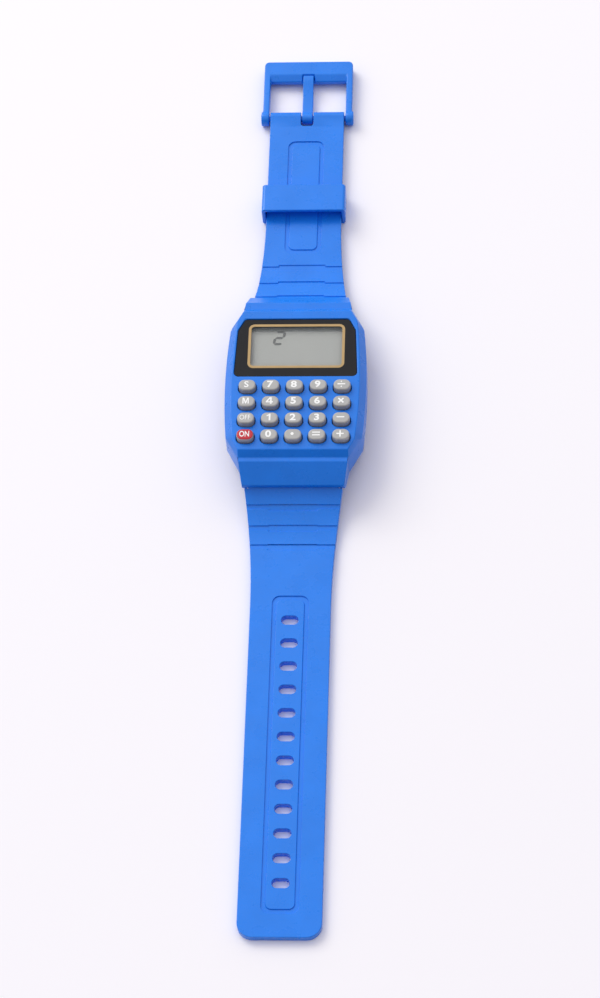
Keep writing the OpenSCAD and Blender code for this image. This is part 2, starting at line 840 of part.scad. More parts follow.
// Resin drop over the chip, under the board
module chip_resin() {
    radius = (pow(chip_diameter / 2, 2) + pow(chip_height, 2)) / (2 * chip_height);
    color(black) intersection() {
        translate([0, -chip_offset, board_bottom - chip_height + radius]) sphere(r = radius, $fn = fine);
        translate([0, -chip_offset, board_bottom - chip_height])
            cylinder(d = chip_diameter + over, h = chip_height, $fn = fine);
    }
}

// Quartz crystal lying under the board
module crystal_can() {
    color(steel) translate([crystal_offset, -chip_offset, board_bottom - crystal_diameter / 2])
        rotate([90, 0, 0]) cylinder(d = crystal_diameter, h = crystal_length, center = true, $fn = fine);
}

// Button cell with its smaller cap towards the board
module button_cell() {
    color(steel) translate([0, cell_offset, cell_bottom]) union() {
        cylinder(d = cell_diameter, h = cell_thickness - cap_height, $fn = fine);
        cylinder(d = cap_diameter, h = cell_thickness, $fn = fine);
    }
}

// Contact strip between the cell's cap and the board
module cell_contact_top() {
    color(copper) translate([0, cell_offset, board_bottom - contact_thickness / 2])
        cube([cap_diameter, contact_width, contact_thickness], center = true);
}

// Contact strip that runs from the cell's side up to the board
module cell_contact_side() {
    side_x = cell_diameter / 2 + seat_gap / 2;
    color(copper) union() {
        translate([side_x, cell_offset - contact_width / 2, board_bottom - contact_drop])
            cube([contact_thickness, contact_width, contact_drop]);
        translate([side_x, cell_offset - contact_width / 2, board_bottom - contact_thickness])
            cube([contact_reach, contact_width, contact_thickness]);
    }
}

// Plastic frame that holds cell, contacts and crystal under the board
module module_frame() {
    bottom = cover_thickness;
    cut = board_bottom - bottom + 2 * over;
    contact_room = contact_width + 2 * seat_gap;
    color(white) difference() {
        body_slice(case_wall + module_gap, bottom, board_bottom);
        translate([0, 0, bottom - over]) union() {
            for (x = [-1, 1], y = [-1, 1])
                translate([x * screw_x, y * screw_y, 0]) union() {
                    cylinder(r = post_radius + module_gap, h = cut);
                    translate([x > 0 ? 0 : -2 * case_wall, -post_radius - module_gap, 0])
                        cube([2 * case_wall, 2 * (post_radius + module_gap), cut]);
                }
            translate([0, cell_offset, 0])
                cylinder(d = cell_diameter + 2 * seat_gap, h = cut, $fn = fine);
            translate([0, cell_offset - contact_room / 2, 0])
                cube([cell_diameter / 2 + contact_reach + 3 * seat_gap, contact_room, cut]);
            translate([0, -chip_offset, 0]) cylinder(d = chip_diameter + 2 * over, h = cut);
            translate([crystal_offset, -chip_offset, cut / 2])
                cube([crystal_diameter + 2 * seat_gap, crystal_length + 2 * seat_gap, cut], center = true);
        }
    }
}

// Spring bar with a stepped tip at each end
module spring_bar() {
    color(steel) translate([0, hood_bar_y, hood_bar_z]) rotate([0, 90, 0]) union() {
        cylinder(r = bar_radius, h = 2 * shoulder_half, center = true, $fn = fine);
        cylinder(r = bar_tip_radius, h = 2 * (hood_inside + bar_tip_length), center = true, $fn = fine);
    }
}

// Side view of a strap from its spring bar to a given end, with its flat top at a given height
module strap_side_view(top, end) {
    radius = bend_radius(top);
    centre = [bend_end(top), top + radius];
    bar = [hood_bar_y, hood_bar_z];
    square_to_hood = [sin(hood_angle), cos(hood_angle)];
    polygon(concat(
        [bar + (knuckle_radius - knuckle_step) * square_to_hood],
        arc(centre, radius, -90 - hood_angle, -90),
        [[end, top], [end, top - strap_thickness]],
        arc(centre, radius + strap_thickness, -90, -90 - hood_angle),
        [bar + (knuckle_radius - knuckle_step - strap_thickness) * square_to_hood]
    ));
}

// Strap without its details, from its knuckle to a given end
module strap_blank(top, flare_end, end, corner) {
    union() {
        intersection() {
            across(strap_width) strap_side_view(top, end);
            translate([0, 0, -case_height]) linear_extrude(3 * case_height)
                strap_plan(flare_end, end, corner);
        }
        translate([0, hood_bar_y, hood_bar_z]) rotate([0, 90, 0])
            cylinder(r = knuckle_radius, h = 2 * shoulder_half, center = true, $fn = fine);
    }
}

// Plan of a strap, with its flare towards the hood and a corner radius at its end
module strap_plan(flare_end, end, corner) {
    flare = [for (i = [0 : bend_steps]) body_end + (flare_end - body_end) * i / bend_steps];
    round_corner = arc([strap_width / 2 - corner, end - corner], corner, 0, 90);
    side = concat([for (y = flare) [strap_half(y, flare_end), y]], round_corner);
    polygon(concat(side, [for (i = [len(side) - 1 : -1 : 0]) [-side[i][0], side[i][1]]]));
}

// Room for the hood's cheeks beside the strap's knuckle
module shoulder_cuts() {
    for (s = [-1, 1])
        translate([s * (shoulder_half + strap_width), hood_bar_y, hood_bar_z])
            rotate([0, 90, 0])
                cylinder(r = shoulder_radius, h = 2 * strap_width, center = true, $fn = fine);
}

// Bore for a hinge pin across the watch
module hinge_bore(y, z) {
    translate([0, y, z]) rotate([0, 90, 0])
        cylinder(r = bar_radius + pin_clearance, h = 2 * case_width, center = true, $fn = fine);
}

// Lines across the strap, each cut square to the strap's slope and wider in the middle
module rib_lines(start, pitch, top) {
    radius = bend_radius(top);
    for (i = [0 : rib_count - 1]) {
        y = start + i * pitch;
        slope = asin(min(1, max(0, bend_end(top) - y) / radius));
        translate([0, y, bend_height(y, top)]) rotate([-slope, 0, 0]) union() {
            cube([2 * strap_width, rib_line_width, 2 * rib_line_depth], center = true);
            translate([0, (rib_middle_width - rib_line_width) / 2 - rib_middle_lead, 0])
                cube([rib_middle_length, rib_middle_width, 2 * rib_line_depth], center = true);
        }
    }
}

// Sunk outline on a strap's top
module panel_line(width, start, end, top) {
    translate([0, (start + end) / 2, top - panel_line_depth]) linear_extrude(over) difference() {
        rounded_rectangle(width, end - start, panel_corner);
        rounded_rectangle(
            width - 2 * panel_line_width,
            end - start - 2 * panel_line_width,
            panel_corner - panel_line_width / 2
        );
    }
}

// Slope from the strap's top up to the round end, which it meets a little before the crown
module strap_end_slope() {
    crown = [pin_distance, pin_height] + end_diameter / 2 * [cos(100), sin(100)];
    foot = [pin_distance - end_slope, upper_strap_top];
    across(strap_width / 2) polygon([
        crown,
        foot + (foot - crown) / 4,
        [foot[0], pin_height],
        [pin_distance, pin_height]
    ]);
}

// Upper strap, which carries the buckle
module strap_upper() {
    color(blue) difference() {
        union() {
            strap_blank(upper_strap_top, upper_flare_end, pin_distance, end_corner);
            translate([0, pin_distance, pin_height]) rotate([0, 90, 0])
                cylinder(d = end_diameter, h = strap_width, center = true, $fn = fine);
            strap_end_slope();
        }
        shoulder_cuts();
        hinge_bore(hood_bar_y, hood_bar_z);
        hinge_bore(pin_distance, pin_height);
        rib_lines(upper_rib_start, upper_rib_pitch, upper_strap_top);
        panel_line(upper_panel_width, upper_panel_start, upper_panel_end, upper_strap_top);
        translate([0, pin_distance + (end_diameter - notch_depth) / 2, -case_height])
            linear_extrude(2 * case_height)
                rounded_rectangle(notch_width, end_diameter + notch_depth, notch_corner);
    }
}

// Outline of one buckle slot
module buckle_slot() {
    straight = slot_length - slot_width;
    union() {
        square([straight, slot_width], center = true);
        for (s = [-1, 1])
            translate([s * straight / 2, 0]) circle(d = slot_width);
    }
}

// Lower strap with its buckle slots
module lower_strap_body() {
    difference() {
        strap_blank(lower_strap_top, lower_flare_end, lower_tip, tip_corner);
        shoulder_cuts();
        hinge_bore(hood_bar_y, hood_bar_z);
        rib_lines(lower_rib_start, lower_rib_pitch, lower_strap_top);
        panel_line(lower_panel_width, lower_panel_start, lower_panel_end, lower_strap_top);
        for (i = [0 : slot_count - 1])
            translate([0, slot_start + i * slot_pitch, -case_height])
                linear_extrude(2 * case_height) buckle_slot();
    }
}

module strap_lower() {
    color(blue) mirror([0, 1, 0]) lower_strap_body();
}

// Keeper round the upper strap, with room for the strap's tail on top
module strap_keeper() {
    outer_height = keeper_inside_top + keeper_wall - keeper_inside_bottom + keeper_floor;
    inner_height = keeper_inside_top - keeper_inside_bottom;
    color(blue) translate([0, keeper_start + keeper_length, 0]) rotate([90, 0, 0])
        linear_extrude(keeper_length) difference() {
            translate([0, keeper_inside_bottom - keeper_floor + outer_height / 2])
                rounded_rectangle(2 * keeper_half, outer_height, keeper_corner);
            translate([-keeper_inside_half, keeper_inside_bottom])
                square([2 * keeper_inside_half, inner_height]);
        }
}

// Buckle frame: cross bar with a sloped edge and a seat for the tongue, two arms, two pin bosses
module buckle_frame() {
    length = frame_end - pin_distance;
    boss_length = boss_width / 2 - frame_inside_half;
    color(blue) difference() {
        union() {
            intersection() {
                translate([0, frame_end - length / 2 - frame_corner, frame_bottom - over])
                    linear_extrude(case_height)
                        rounded_rectangle(frame_width, length + 2 * frame_corner, frame_corner);
                across(frame_width) polygon([
                    [pin_distance, pin_height - arm_thickness / 2],
                    [bar_start, frame_bottom],
                    [frame_end, frame_bottom],
                    [frame_end, bar_top],
                    [bar_start, bar_top],
                    [pin_distance, pin_height + arm_thickness / 2]
                ]);
            }
            for (s = [-1, 1])
                translate([s * (frame_inside_half + boss_length / 2), pin_distance, pin_height])
                    rotate([0, 90, 0])
                        cylinder(d = boss_diameter, h = boss_length, center = true, $fn = fine);
        }
        across(frame_inside_half) polygon([
            [pin_distance - boss_diameter, ground - over],
            [seat_end, ground - over],
            [seat_end, bar_edge_top - lip_thickness],
            [bar_start, bar_edge_top - lip_thickness],
            [bar_start, bar_edge_top],
            [seat_end, bar_top],
            [seat_end, case_height],
            [pin_distance - boss_diameter, case_height]
        ]);
        translate([-tongue_width / 2 - side_gap, bar_start - over, bar_top - seat_depth])
            cube([tongue_width + 2 * side_gap, slope_length + over, case_height]);
        translate([0, pin_distance, pin_height]) rotate([0, 90, 0])
            cylinder(r = bar_radius + fixed_clearance, h = pin_bore_length, center = true, $fn = fine);
    }
}

// Buckle tongue: eye round the pin, straight stretch, slope and tip in its seat
module buckle_tongue() {
    color(blue) difference() {
        across(tongue_width / 2) union() {
            translate([pin_distance, pin_height]) circle(d = eye_diameter, $fn = fine);
            polygon([
                [pin_distance, tongue_low],
                [slope_start, tongue_low],
                [slope_end, tongue_rest],
                [tongue_tip, tongue_rest],
                [tongue_tip, tongue_rest + tongue_thickness - tongue_chamfer],
                [tongue_tip - tongue_chamfer, tongue_rest + tongue_thickness],
                [slope_end, tongue_rest + tongue_thickness],
                [slope_start, tongue_low + tongue_thickness],
                [pin_distance, tongue_low + tongue_thickness]
            ]);
        }
        hinge_bore(pin_distance, pin_height);
    }
}

// Buckle pin, held in the frame's bosses
module buckle_pin() {
    color(blue) translate([0, pin_distance, pin_height]) rotate([0, 90, 0])
        cylinder(r = bar_radius, h = pin_bore_length - 2 * seat_gap, center = true, $fn = fine);
}

case_shell();
back_cover();
back_screws();
display_mask();
window_border();
display_lens();
display_film();
front_glass();
rear_glass();
display_reflector();
display_foam();
zebra_connector();
circuit_board();
contact_pads();
key_mat();
chip_resin();
crystal_can();
button_cell();
cell_contact_top();
cell_contact_side();
module_frame();
spring_bar();  // spring_bar_upper
mirror([0, 1, 0]) spring_bar();  // spring_bar_lower
strap_upper();
strap_lower();
strap_keeper();
buckle_frame();
buckle_tongue();
buckle_pin();
for (spot = key_spots) {
    key_cap(spot);
}
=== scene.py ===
import math
import bmesh
import bpy
from mathutils import Matrix, Vector


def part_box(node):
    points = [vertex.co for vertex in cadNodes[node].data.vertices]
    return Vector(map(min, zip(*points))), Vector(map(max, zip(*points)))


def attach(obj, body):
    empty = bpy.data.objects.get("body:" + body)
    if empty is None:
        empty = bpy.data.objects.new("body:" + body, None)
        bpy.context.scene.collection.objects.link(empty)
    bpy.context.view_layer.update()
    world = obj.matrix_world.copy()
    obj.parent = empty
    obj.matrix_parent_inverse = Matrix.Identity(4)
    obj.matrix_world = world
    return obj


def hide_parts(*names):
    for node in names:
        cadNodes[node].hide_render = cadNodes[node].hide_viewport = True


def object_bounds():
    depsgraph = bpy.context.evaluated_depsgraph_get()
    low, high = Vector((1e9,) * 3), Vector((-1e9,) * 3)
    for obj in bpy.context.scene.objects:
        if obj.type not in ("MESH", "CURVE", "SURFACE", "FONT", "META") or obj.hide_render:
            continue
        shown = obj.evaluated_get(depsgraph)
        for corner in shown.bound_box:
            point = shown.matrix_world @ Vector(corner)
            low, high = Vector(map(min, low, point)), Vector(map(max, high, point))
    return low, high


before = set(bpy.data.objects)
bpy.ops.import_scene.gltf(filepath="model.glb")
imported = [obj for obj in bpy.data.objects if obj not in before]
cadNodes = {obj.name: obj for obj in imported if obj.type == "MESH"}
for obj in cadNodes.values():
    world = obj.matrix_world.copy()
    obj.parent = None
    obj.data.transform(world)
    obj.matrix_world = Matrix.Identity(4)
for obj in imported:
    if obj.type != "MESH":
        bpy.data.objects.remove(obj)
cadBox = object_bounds()
scene = bpy.context.scene
mm = 0.001


# Where the lens stands: 60 degrees above the table and a little to the right, held slightly turned
viewpoint = {
    "pictureHeight": 998,
    "focalPixels": 2975,
    "sensor": 36,           # mm along the picture's long side
    "elevation": 59.77,     # degrees above the table
    "aside": 7.1,           # degrees to the right of the watch
    "roll": -6.25,          # degrees round the line of sight
    "distance": 713,        # mm from the lens to the point aimed at
    "aim": (1.42, -27.36, -2.0),
    "nearest": 0.01,        # metres, where the view begins
}

# One large soft box behind the watch on the left, in a room that is palest above and behind it
studio = {
    "keyFrom": (-0.50, 0.56, 0.66),
    "keyDistance": 2.2,     # metres
    "keySize": 1.3,         # metres
    "keyLevel": 0.31,       # share of the light that a flat white surface sends back
    "keyColour": (1.0, 1.0, 0.87),
    "roomColour": (0.965, 0.955, 1.0),
    "roomFrom": (-0.18, 0.48, 0.86),
    "roomStart": -0.1,      # cosine to roomFrom at which the light begins to rise
    "roomLow": 0.13,        # light from the sides turned away from roomFrom
    "roomHigh": 1.17,       # light from roomFrom itself
    "floorColour": (0.955, 0.93, 0.985),
    "floorRoughness": 0.9,
    "floorSpecular": 0.1,
    "floorSize": 6.0,       # metres
}


# Adds a node to a shader or geometry tree. Values go in by input name, and sockets are linked
def addNode(tree, kind, settings=None, **inputs):
    made = tree.nodes.new(kind)
    for key, value in (settings or {}).items():
        setattr(made, key, value)
    for key, value in inputs.items():
        feed(tree, made.inputs[key.replace("_", " ")], value)
    return made


def feed(tree, socket, value):
    if isinstance(value, bpy.types.NodeSocket):
        tree.links.new(value, socket)
    else:
        socket.default_value = value


# One step of arithmetic in a tree, on sockets or plain numbers
def reckon(tree, operation, *terms):
    made = tree.nodes.new("ShaderNodeMath")
    made.operation = operation
    for socket, term in zip(made.inputs, terms):
        feed(tree, socket, term)
    return made.outputs[0]


def makeCamera(look):
    camera = bpy.data.objects.new("camera", bpy.data.cameras.new("camera"))
    scene.collection.objects.link(camera)
    aside, elevation, roll = [math.radians(look[key]) for key in ("aside", "elevation", "roll")]
    back = Vector((
        math.sin(aside) * math.cos(elevation),
        -math.cos(aside) * math.cos(elevation),
        math.sin(elevation),
    ))
    level = Vector((0, 0, 1)).cross(back).normalized()
    upright = back.cross(level)
    across = math.cos(roll) * level + math.sin(roll) * upright
    up = math.cos(roll) * upright - math.sin(roll) * level
    place = Matrix.Translation((Vector(look["aim"]) + back * look["distance"]) * mm)
    camera.matrix_world = place @ Matrix((across, up, back)).transposed().to_4x4()
    camera.data.sensor_width = look["sensor"]
    camera.data.lens = look["focalPixels"] * look["sensor"] / look["pictureHeight"]
    camera.data.clip_start = look["nearest"]
    scene.camera = camera


def makeStudio(look):
    lamp = bpy.data.lights.new("softBox", "AREA")
    lamp.shape = "SQUARE"
    lamp.size = look["keySize"]
    lamp.color = look["keyColour"]
    towards = Vector(look["keyFrom"]).normalized()
    lamp.energy = look["keyLevel"] * (math.pi * look["keyDistance"]) ** 2 / towards.z
    key = bpy.data.objects.new("softBox", lamp)
    key.location = towards * look["keyDistance"]
    key.rotation_euler = towards.to_track_quat("Z", "Y").to_euler()
    scene.collection.objects.link(key)

    world = bpy.data.worlds.new("room")
    world.use_nodes = True
    tree = world.node_tree
    facing = addNode(tree, "ShaderNodeVectorMath", {"operation": "DOT_PRODUCT"})
    tree.links.new(addNode(tree, "ShaderNodeTexCoord").outputs["Generated"], facing.inputs[0])
    facing.inputs[1].default_value = Vector(look["roomFrom"]).normalized()
    level = addNode(
        tree, "ShaderNodeMapRange", Value=facing.outputs["Value"],
        From_Min=look["roomStart"], To_Min=look["roomLow"], To_Max=look["roomHigh"],
    )
    tree.nodes["Background"].inputs["Color"].default_value = (*look["roomColour"], 1)
    tree.links.new(level.outputs["Result"], tree.nodes["Background"].inputs["Strength"])
    scene.world = world
    scene.view_settings.view_transform = "Standard"


makeCamera(viewpoint)
makeStudio(studio)
print("camera and lights made")


# Each finish: colour, how far it varies, patch and grain sizes in mm, roughness range, relief in mm
finishes = {
    "strapBlue": {
        "colour": (0.006, 0.202, 0.84), "vary": 0.05, "patch": 7, "grain": 0.16, "specular": 0.42,
        "roughness": (0.24, 0.34), "relief": 0.004, "wave": 14, "waveRelief": 0.14,
    },
    "caseBlue": {
        "colour": (0.006, 0.189, 0.79), "vary": 0.05, "patch": 6, "grain": 0.14, "specular": 0.36,
        "roughness": (0.25, 0.35), "relief": 0.004, "wave": 11, "waveRelief": 0.03,
    },
    "keyGrey": {
        "colour": (0.43, 0.425, 0.425), "vary": 0.04, "patch": 2, "grain": 0.12,
        "roughness": (0.42, 0.55), "relief": 0.004,
    },
    "keyRed": {
        "colour": (0.52, 0.006, 0.022), "vary": 0.05, "patch": 2, "grain": 0.12,
        "roughness": (0.40, 0.52), "relief": 0.003,
    },
    "printWhite": {
        "colour": (0.90, 0.90, 0.90), "vary": 0.03, "patch": 1.2, "grain": 0.1,
        "roughness": (0.45, 0.6), "relief": 0.002,
    },
    "panelBlack": {
        "colour": (0.006, 0.006, 0.008), "vary": 0.15, "patch": 6, "grain": 0.1, "specular": 0.28,
        "roughness": (0.10, 0.16), "relief": 0.0005,
    },
    "lineGold": {
        "colour": (0.44, 0.29, 0.125), "vary": 0.06, "patch": 3, "grain": 0.08,
        "roughness": (0.40, 0.55), "relief": 0.001, "metallic": 0.2,
    },
    "lensClear": {
        "colour": (0.75, 0.77, 0.76), "vary": 0.02, "patch": 10, "grain": 0.3,
        "roughness": (0.05, 0.09), "relief": 0.0002, "alpha": 0.06,
    },
    "cellGlass": {
        "colour": (0.62, 0.68, 0.65), "vary": 0.02, "patch": 8, "grain": 0.3,
        "roughness": (0.04, 0.08), "relief": 0.0002, "alpha": 0.35,
    },
    "filmGrey": {
        "colour": (0.355, 0.365, 0.355), "vary": 0.03, "patch": 9, "grain": 0.1,
        "roughness": (0.50, 0.60), "relief": 0.001,
    },
    "segmentInk": {
        "colour": (0.075, 0.08, 0.085), "vary": 0.08, "patch": 1, "grain": 0.1,
        "roughness": (0.5, 0.6), "relief": 0.001,
    },
    "foamWhite": {
        "colour": (0.78, 0.78, 0.74), "vary": 0.12, "patch": 0.8, "grain": 0.25,
        "roughness": (0.85, 0.95), "relief": 0.06,
    },
    "rubberDark": {
        "colour": (0.055, 0.055, 0.06), "vary": 0.12, "patch": 3, "grain": 0.12,
        "roughness": (0.65, 0.8), "relief": 0.006,
    },
    "rubberLayered": {
        "colour": (0.055, 0.055, 0.06), "vary": 0.6, "patch": 0.25, "grain": 0.1,
        "roughness": (0.6, 0.75), "relief": 0.003, "stretch": (1, 0.02, 0.02),
    },
    "boardGreen": {
        "colour": (0.012, 0.13, 0.045), "vary": 0.2, "patch": 3, "grain": 0.2,
        "roughness": (0.25, 0.4), "relief": 0.004,
    },
    "platingGold": {
        "colour": (0.78, 0.53, 0.20), "vary": 0.06, "patch": 1.5, "grain": 0.08,
        "roughness": (0.25, 0.38), "relief": 0.001, "metallic": 1.0,
    },
    "resinBlack": {
        "colour": (0.010, 0.010, 0.011), "vary": 0.2, "patch": 2, "grain": 0.3,
        "roughness": (0.22, 0.34), "relief": 0.006,
    },
    "steelBrushed": {
        "colour": (0.60, 0.61, 0.63), "vary": 0.08, "patch": 2, "grain": 0.06,
        "roughness": (0.24, 0.38), "relief": 0.001, "metallic": 1.0, "stretch": (1, 1, 14),
    },
    "frameWhite": {
        "colour": (0.74, 0.74, 0.71), "vary": 0.04, "patch": 4, "grain": 0.15,
        "roughness": (0.45, 0.6), "relief": 0.004,
    },
}


# How the noises of every finish are mixed
texture = {
    "noiseRoughness": 0.55,
    "grainShare": 0.3,          # grain added to the patches' colour
    "darkestAt": 0.4, "palestAt": 0.9,
    "wearPatch": 0.6,           # size of the roughness patches, in colour patches
    "smoothAt": 0.3, "roughAt": 0.7,
}


def shade(colour, factor):
    return (*[min(1.0, c * factor) for c in colour], 1)


# Colour drifts in patches, roughness drifts on its own, grain and slow waves give the relief
def makeFinish(name, look):
    material = bpy.data.materials.new(name)
    material.use_nodes = True
    tree = material.node_tree
    surface = tree.nodes["Principled BSDF"]
    place = addNode(tree, "ShaderNodeTexCoord").outputs["Object"]
    if "stretch" in look:
        place = addNode(tree, "ShaderNodeMapping", Vector=place, Scale=look["stretch"]).outputs["Vector"]

    def noise(size, detail, offset):
        moved = addNode(tree, "ShaderNodeMapping", Vector=place, Location=(offset, 0, 0))
        return addNode(
            tree, "ShaderNodeTexNoise", Vector=moved.outputs["Vector"],
            Scale=1 / (size * mm), Detail=detail, Roughness=texture["noiseRoughness"],
        ).outputs["Fac"]

    grain = noise(look["grain"], 2, 1)
    mixed = reckon(tree, "MULTIPLY_ADD", grain, texture["grainShare"], noise(look["patch"], 3, 0))
    ramp = addNode(tree, "ShaderNodeValToRGB", Fac=mixed)
    ramp.color_ramp.elements[0].position = texture["darkestAt"]
    ramp.color_ramp.elements[0].color = shade(look["colour"], 1 - look["vary"])
    ramp.color_ramp.elements[1].position = texture["palestAt"]
    ramp.color_ramp.elements[1].color = shade(look["colour"], 1 + look["vary"])
    tree.links.new(ramp.outputs["Color"], surface.inputs["Base Color"])

    low, high = look["roughness"]
    worn = addNode(
        tree, "ShaderNodeMapRange", Value=noise(look["patch"] * texture["wearPatch"], 4, 2),
        From_Min=texture["smoothAt"], From_Max=texture["roughAt"], To_Min=low, To_Max=high,
    )
    tree.links.new(worn.outputs["Result"], surface.inputs["Roughness"])

    bump = addNode(tree, "ShaderNodeBump", Height=grain, Strength=1.0, Distance=look["relief"] * mm)
    if "wave" in look:
        bump = addNode(
            tree, "ShaderNodeBump", Height=noise(look["wave"], 1, 3), Strength=1.0,
            Distance=look["waveRelief"] * mm, Normal=bump.outputs["Normal"],
        )
    tree.links.new(bump.outputs["Normal"], surface.inputs["Normal"])
    surface.inputs["Metallic"].default_value = look.get("metallic", 0.0)
    surface.inputs["Specular IOR Level"].default_value = look.get("specular", 0.5)
    surface.inputs["Alpha"].default_value = look.get("alpha", 1.0)
    return material


materials = {name: makeFinish(name, look) for name, look in finishes.items()}
print("finishes made:", len(materials))


def linkObject(name, mesh):
    made = bpy.data.objects.new(name, mesh)
    scene.collection.objects.link(made)
    return made


def evaluatedMesh(thing):
    graph = bpy.context.evaluated_depsgraph_get()
    return bpy.data.meshes.new_from_object(thing.evaluated_get(graph), depsgraph=graph)


# The evaluated object as a plain mesh, in place of the object's own mesh and modifiers
def bakeModifiers(piece):
    mesh = evaluatedMesh(piece)
    piece.modifiers.clear()
    piece.data = mesh
    mesh.name = piece.name


def roundEdges(piece, width, steps):
    bevel = piece.modifiers.new("roundEdges", "BEVEL")
    bevel.limit_method = "WEIGHT"
    bevel.width = width * mm
    bevel.segments = steps
    bevel.use_clamp_overlap = False
    bevel.loop_slide = False
    flatten = piece.modifiers.new("keepFlats", "WEIGHTED_NORMAL")
    flatten.mode = "FACE_AREA"
    flatten.weight = 100


def setFinish(piece, finish):
    piece.data.materials.clear()
    piece.data.materials.append(materials[finish])


# Ties a piece to its body, sets its finish if one is given and hides the solids it replaces. The trees set
# the finish of what they grow themselves
def finishPiece(piece, body, slotName, *replaced, material=None):
    if material:
        setFinish(piece, material)
    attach(piece, body)
    if replaced:
        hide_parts(*replaced)


# Moulded copies of the plain solids, with every outer edge rounded
moulding = {
    "mergeWithin": 0.002,   # mm
    "blockMergeWithin": 0.001,      # mm, in blocks made by a tree
    "flatWithin": 0.6,      # degrees
    "sharpFrom": 24,        # degrees between two faces
    "uprightFrom": 0.9,     # rise of an upright edge, as a share of its length
    "levelWithin": 0.01,    # mm, for points that lie at a given height
    "steps": 3,             # faces across a rounded edge
}


# The sunk outline on each strap has sloped walls: its floor is narrowed and its rim widened.
# Points from "before" outside its outer wall to "reach" inside it belong to it. All in mm
sunkOutline = {
    "line": 1.0, "corner": 1.6, "depth": 0.3, "floorIn": 0.3, "rimOut": 0.22, "before": 0.02, "reach": 1.3,
}
strapPanels = {
    "strap_upper": {"half": 4.3, "start": 43.9, "end": 78.2, "top": -1.2},
    "strap_lower": {"half": 4.05, "start": -133.3, "end": -53.9, "top": -2.0},
}


def slopeSunkOutline(work, panel):
    line, corner, top = sunkOutline["line"], sunkOutline["corner"], panel["top"]
    middleY = (panel["start"] + panel["end"]) / 2
    straightX, straightY = panel["half"] - corner, (panel["end"] - panel["start"]) / 2 - corner
    for vert in work.verts:
        x, y, z = vert.co / mm
        fromX, fromY = abs(x) - straightX, abs(y - middleY) - straightY
        away = Vector((max(0, fromX), max(0, fromY)))
        if fromX < 0 and fromY < 0:
            away = Vector((1, 0)) if fromX - fromY > 0 else Vector((0, 1))
            inside = corner - max(fromX, fromY)
        else:
            inside = corner - away.length
            away.normalize()
        onRim = abs(z - top) < moulding["levelWithin"]
        onFloor = abs(z - top + sunkOutline["depth"]) < moulding["levelWithin"]
        if not (-sunkOutline["before"] < inside < sunkOutline["reach"]) or not (onRim or onFloor):
            continue
        outer = inside < line / 2
        move = sunkOutline["rimOut"] if onRim else -sunkOutline["floorIn"]
        shift = away * (move if outer else -move)
        vert.co += Vector((math.copysign(shift.x, x), math.copysign(shift.y, y - middleY), 0)) * mm


# edgeRadius gives the width in mm from the edge's middle point in mm, whether the edge stands
# upright and whether it points outwards
def mouldedCopy(nodeName, pieceName, edgeRadius):
    work = bmesh.new()
    work.from_mesh(cadNodes[nodeName].data)
    bmesh.ops.remove_doubles(work, verts=work.verts, dist=moulding["mergeWithin"] * mm)
    bmesh.ops.dissolve_limit(
        work, angle_limit=math.radians(moulding["flatWithin"]), verts=work.verts, edges=work.edges,
    )
    weight = work.edges.layers.float.new("bevel_weight_edge")
    sharp = math.radians(moulding["sharpFrom"])
    radii = {}
    for edge in work.edges:
        if edge.calc_face_angle(0) > sharp:
            start, end = [vert.co / mm for vert in edge.verts]
            upright = abs(end.z - start.z) > moulding["uprightFrom"] * (end - start).length
            radii[edge] = edgeRadius((start + end) / 2, upright, edge.is_convex)
    if nodeName in strapPanels:
        slopeSunkOutline(work, strapPanels[nodeName])
    widest = max(radii.values())
    for edge, radius in radii.items():
        edge[weight] = radius / widest
    mesh = bpy.data.meshes.new(pieceName)
    work.to_mesh(mesh)
    work.free()
    mesh.shade_smooth()
    piece = linkObject(pieceName, mesh)
    roundEdges(piece, widest, moulding["steps"])
    bakeModifiers(piece)
    return piece


# The strap's own outline is rounded more than its grooves: straight sides and the round tip corners
strapEdges = {
    "outline": 0.17, "rim": 0.11, "floor": 0.05,                                            # mm
    "tipCorner": 3.5, "cornerX": 6.0, "cornerY": -135.7, "outlineWithin": 0.2,              # mm
}


# Upright inner corners stay sharp, because they are too short for a rounding
def strapRadius(middle, upright, outwards):
    if upright and not outwards:
        return 0.0
    beyondX = max(0, abs(middle.x) - strapEdges["cornerX"])
    beyondY = max(0, strapEdges["cornerY"] - middle.y)
    if math.hypot(beyondX, beyondY) > strapEdges["tipCorner"] - strapEdges["outlineWithin"]:
        return strapEdges["outline"]
    return strapEdges["rim" if outwards else "floor"]


# The black panel's upper corners are round, and so is its recess in the case. In mm
panelCorners = {
    "spots": [(12.65, 17.35), (14.3, 14.15)], "within": 0.5, "width": 0.7,
    "otherCaseEdges": 0.2, "otherPanelEdges": 0.05,
}


def nearPanelCorner(middle):
    return any(
        math.hypot(abs(middle.x) - x, middle.y - y) < panelCorners["within"]
        for x, y in panelCorners["spots"]
    )


def caseRadius(middle, upright, outwards):
    rounded = upright and not outwards and nearPanelCorner(middle)
    return panelCorners["width" if rounded else "otherCaseEdges"]


def panelRadius(middle, upright, outwards):
    rounded = upright and nearPanelCorner(middle)
    return panelCorners["width" if rounded else "otherPanelEdges"]


def evenRadius(width):
    return lambda middle, upright, outwards: width


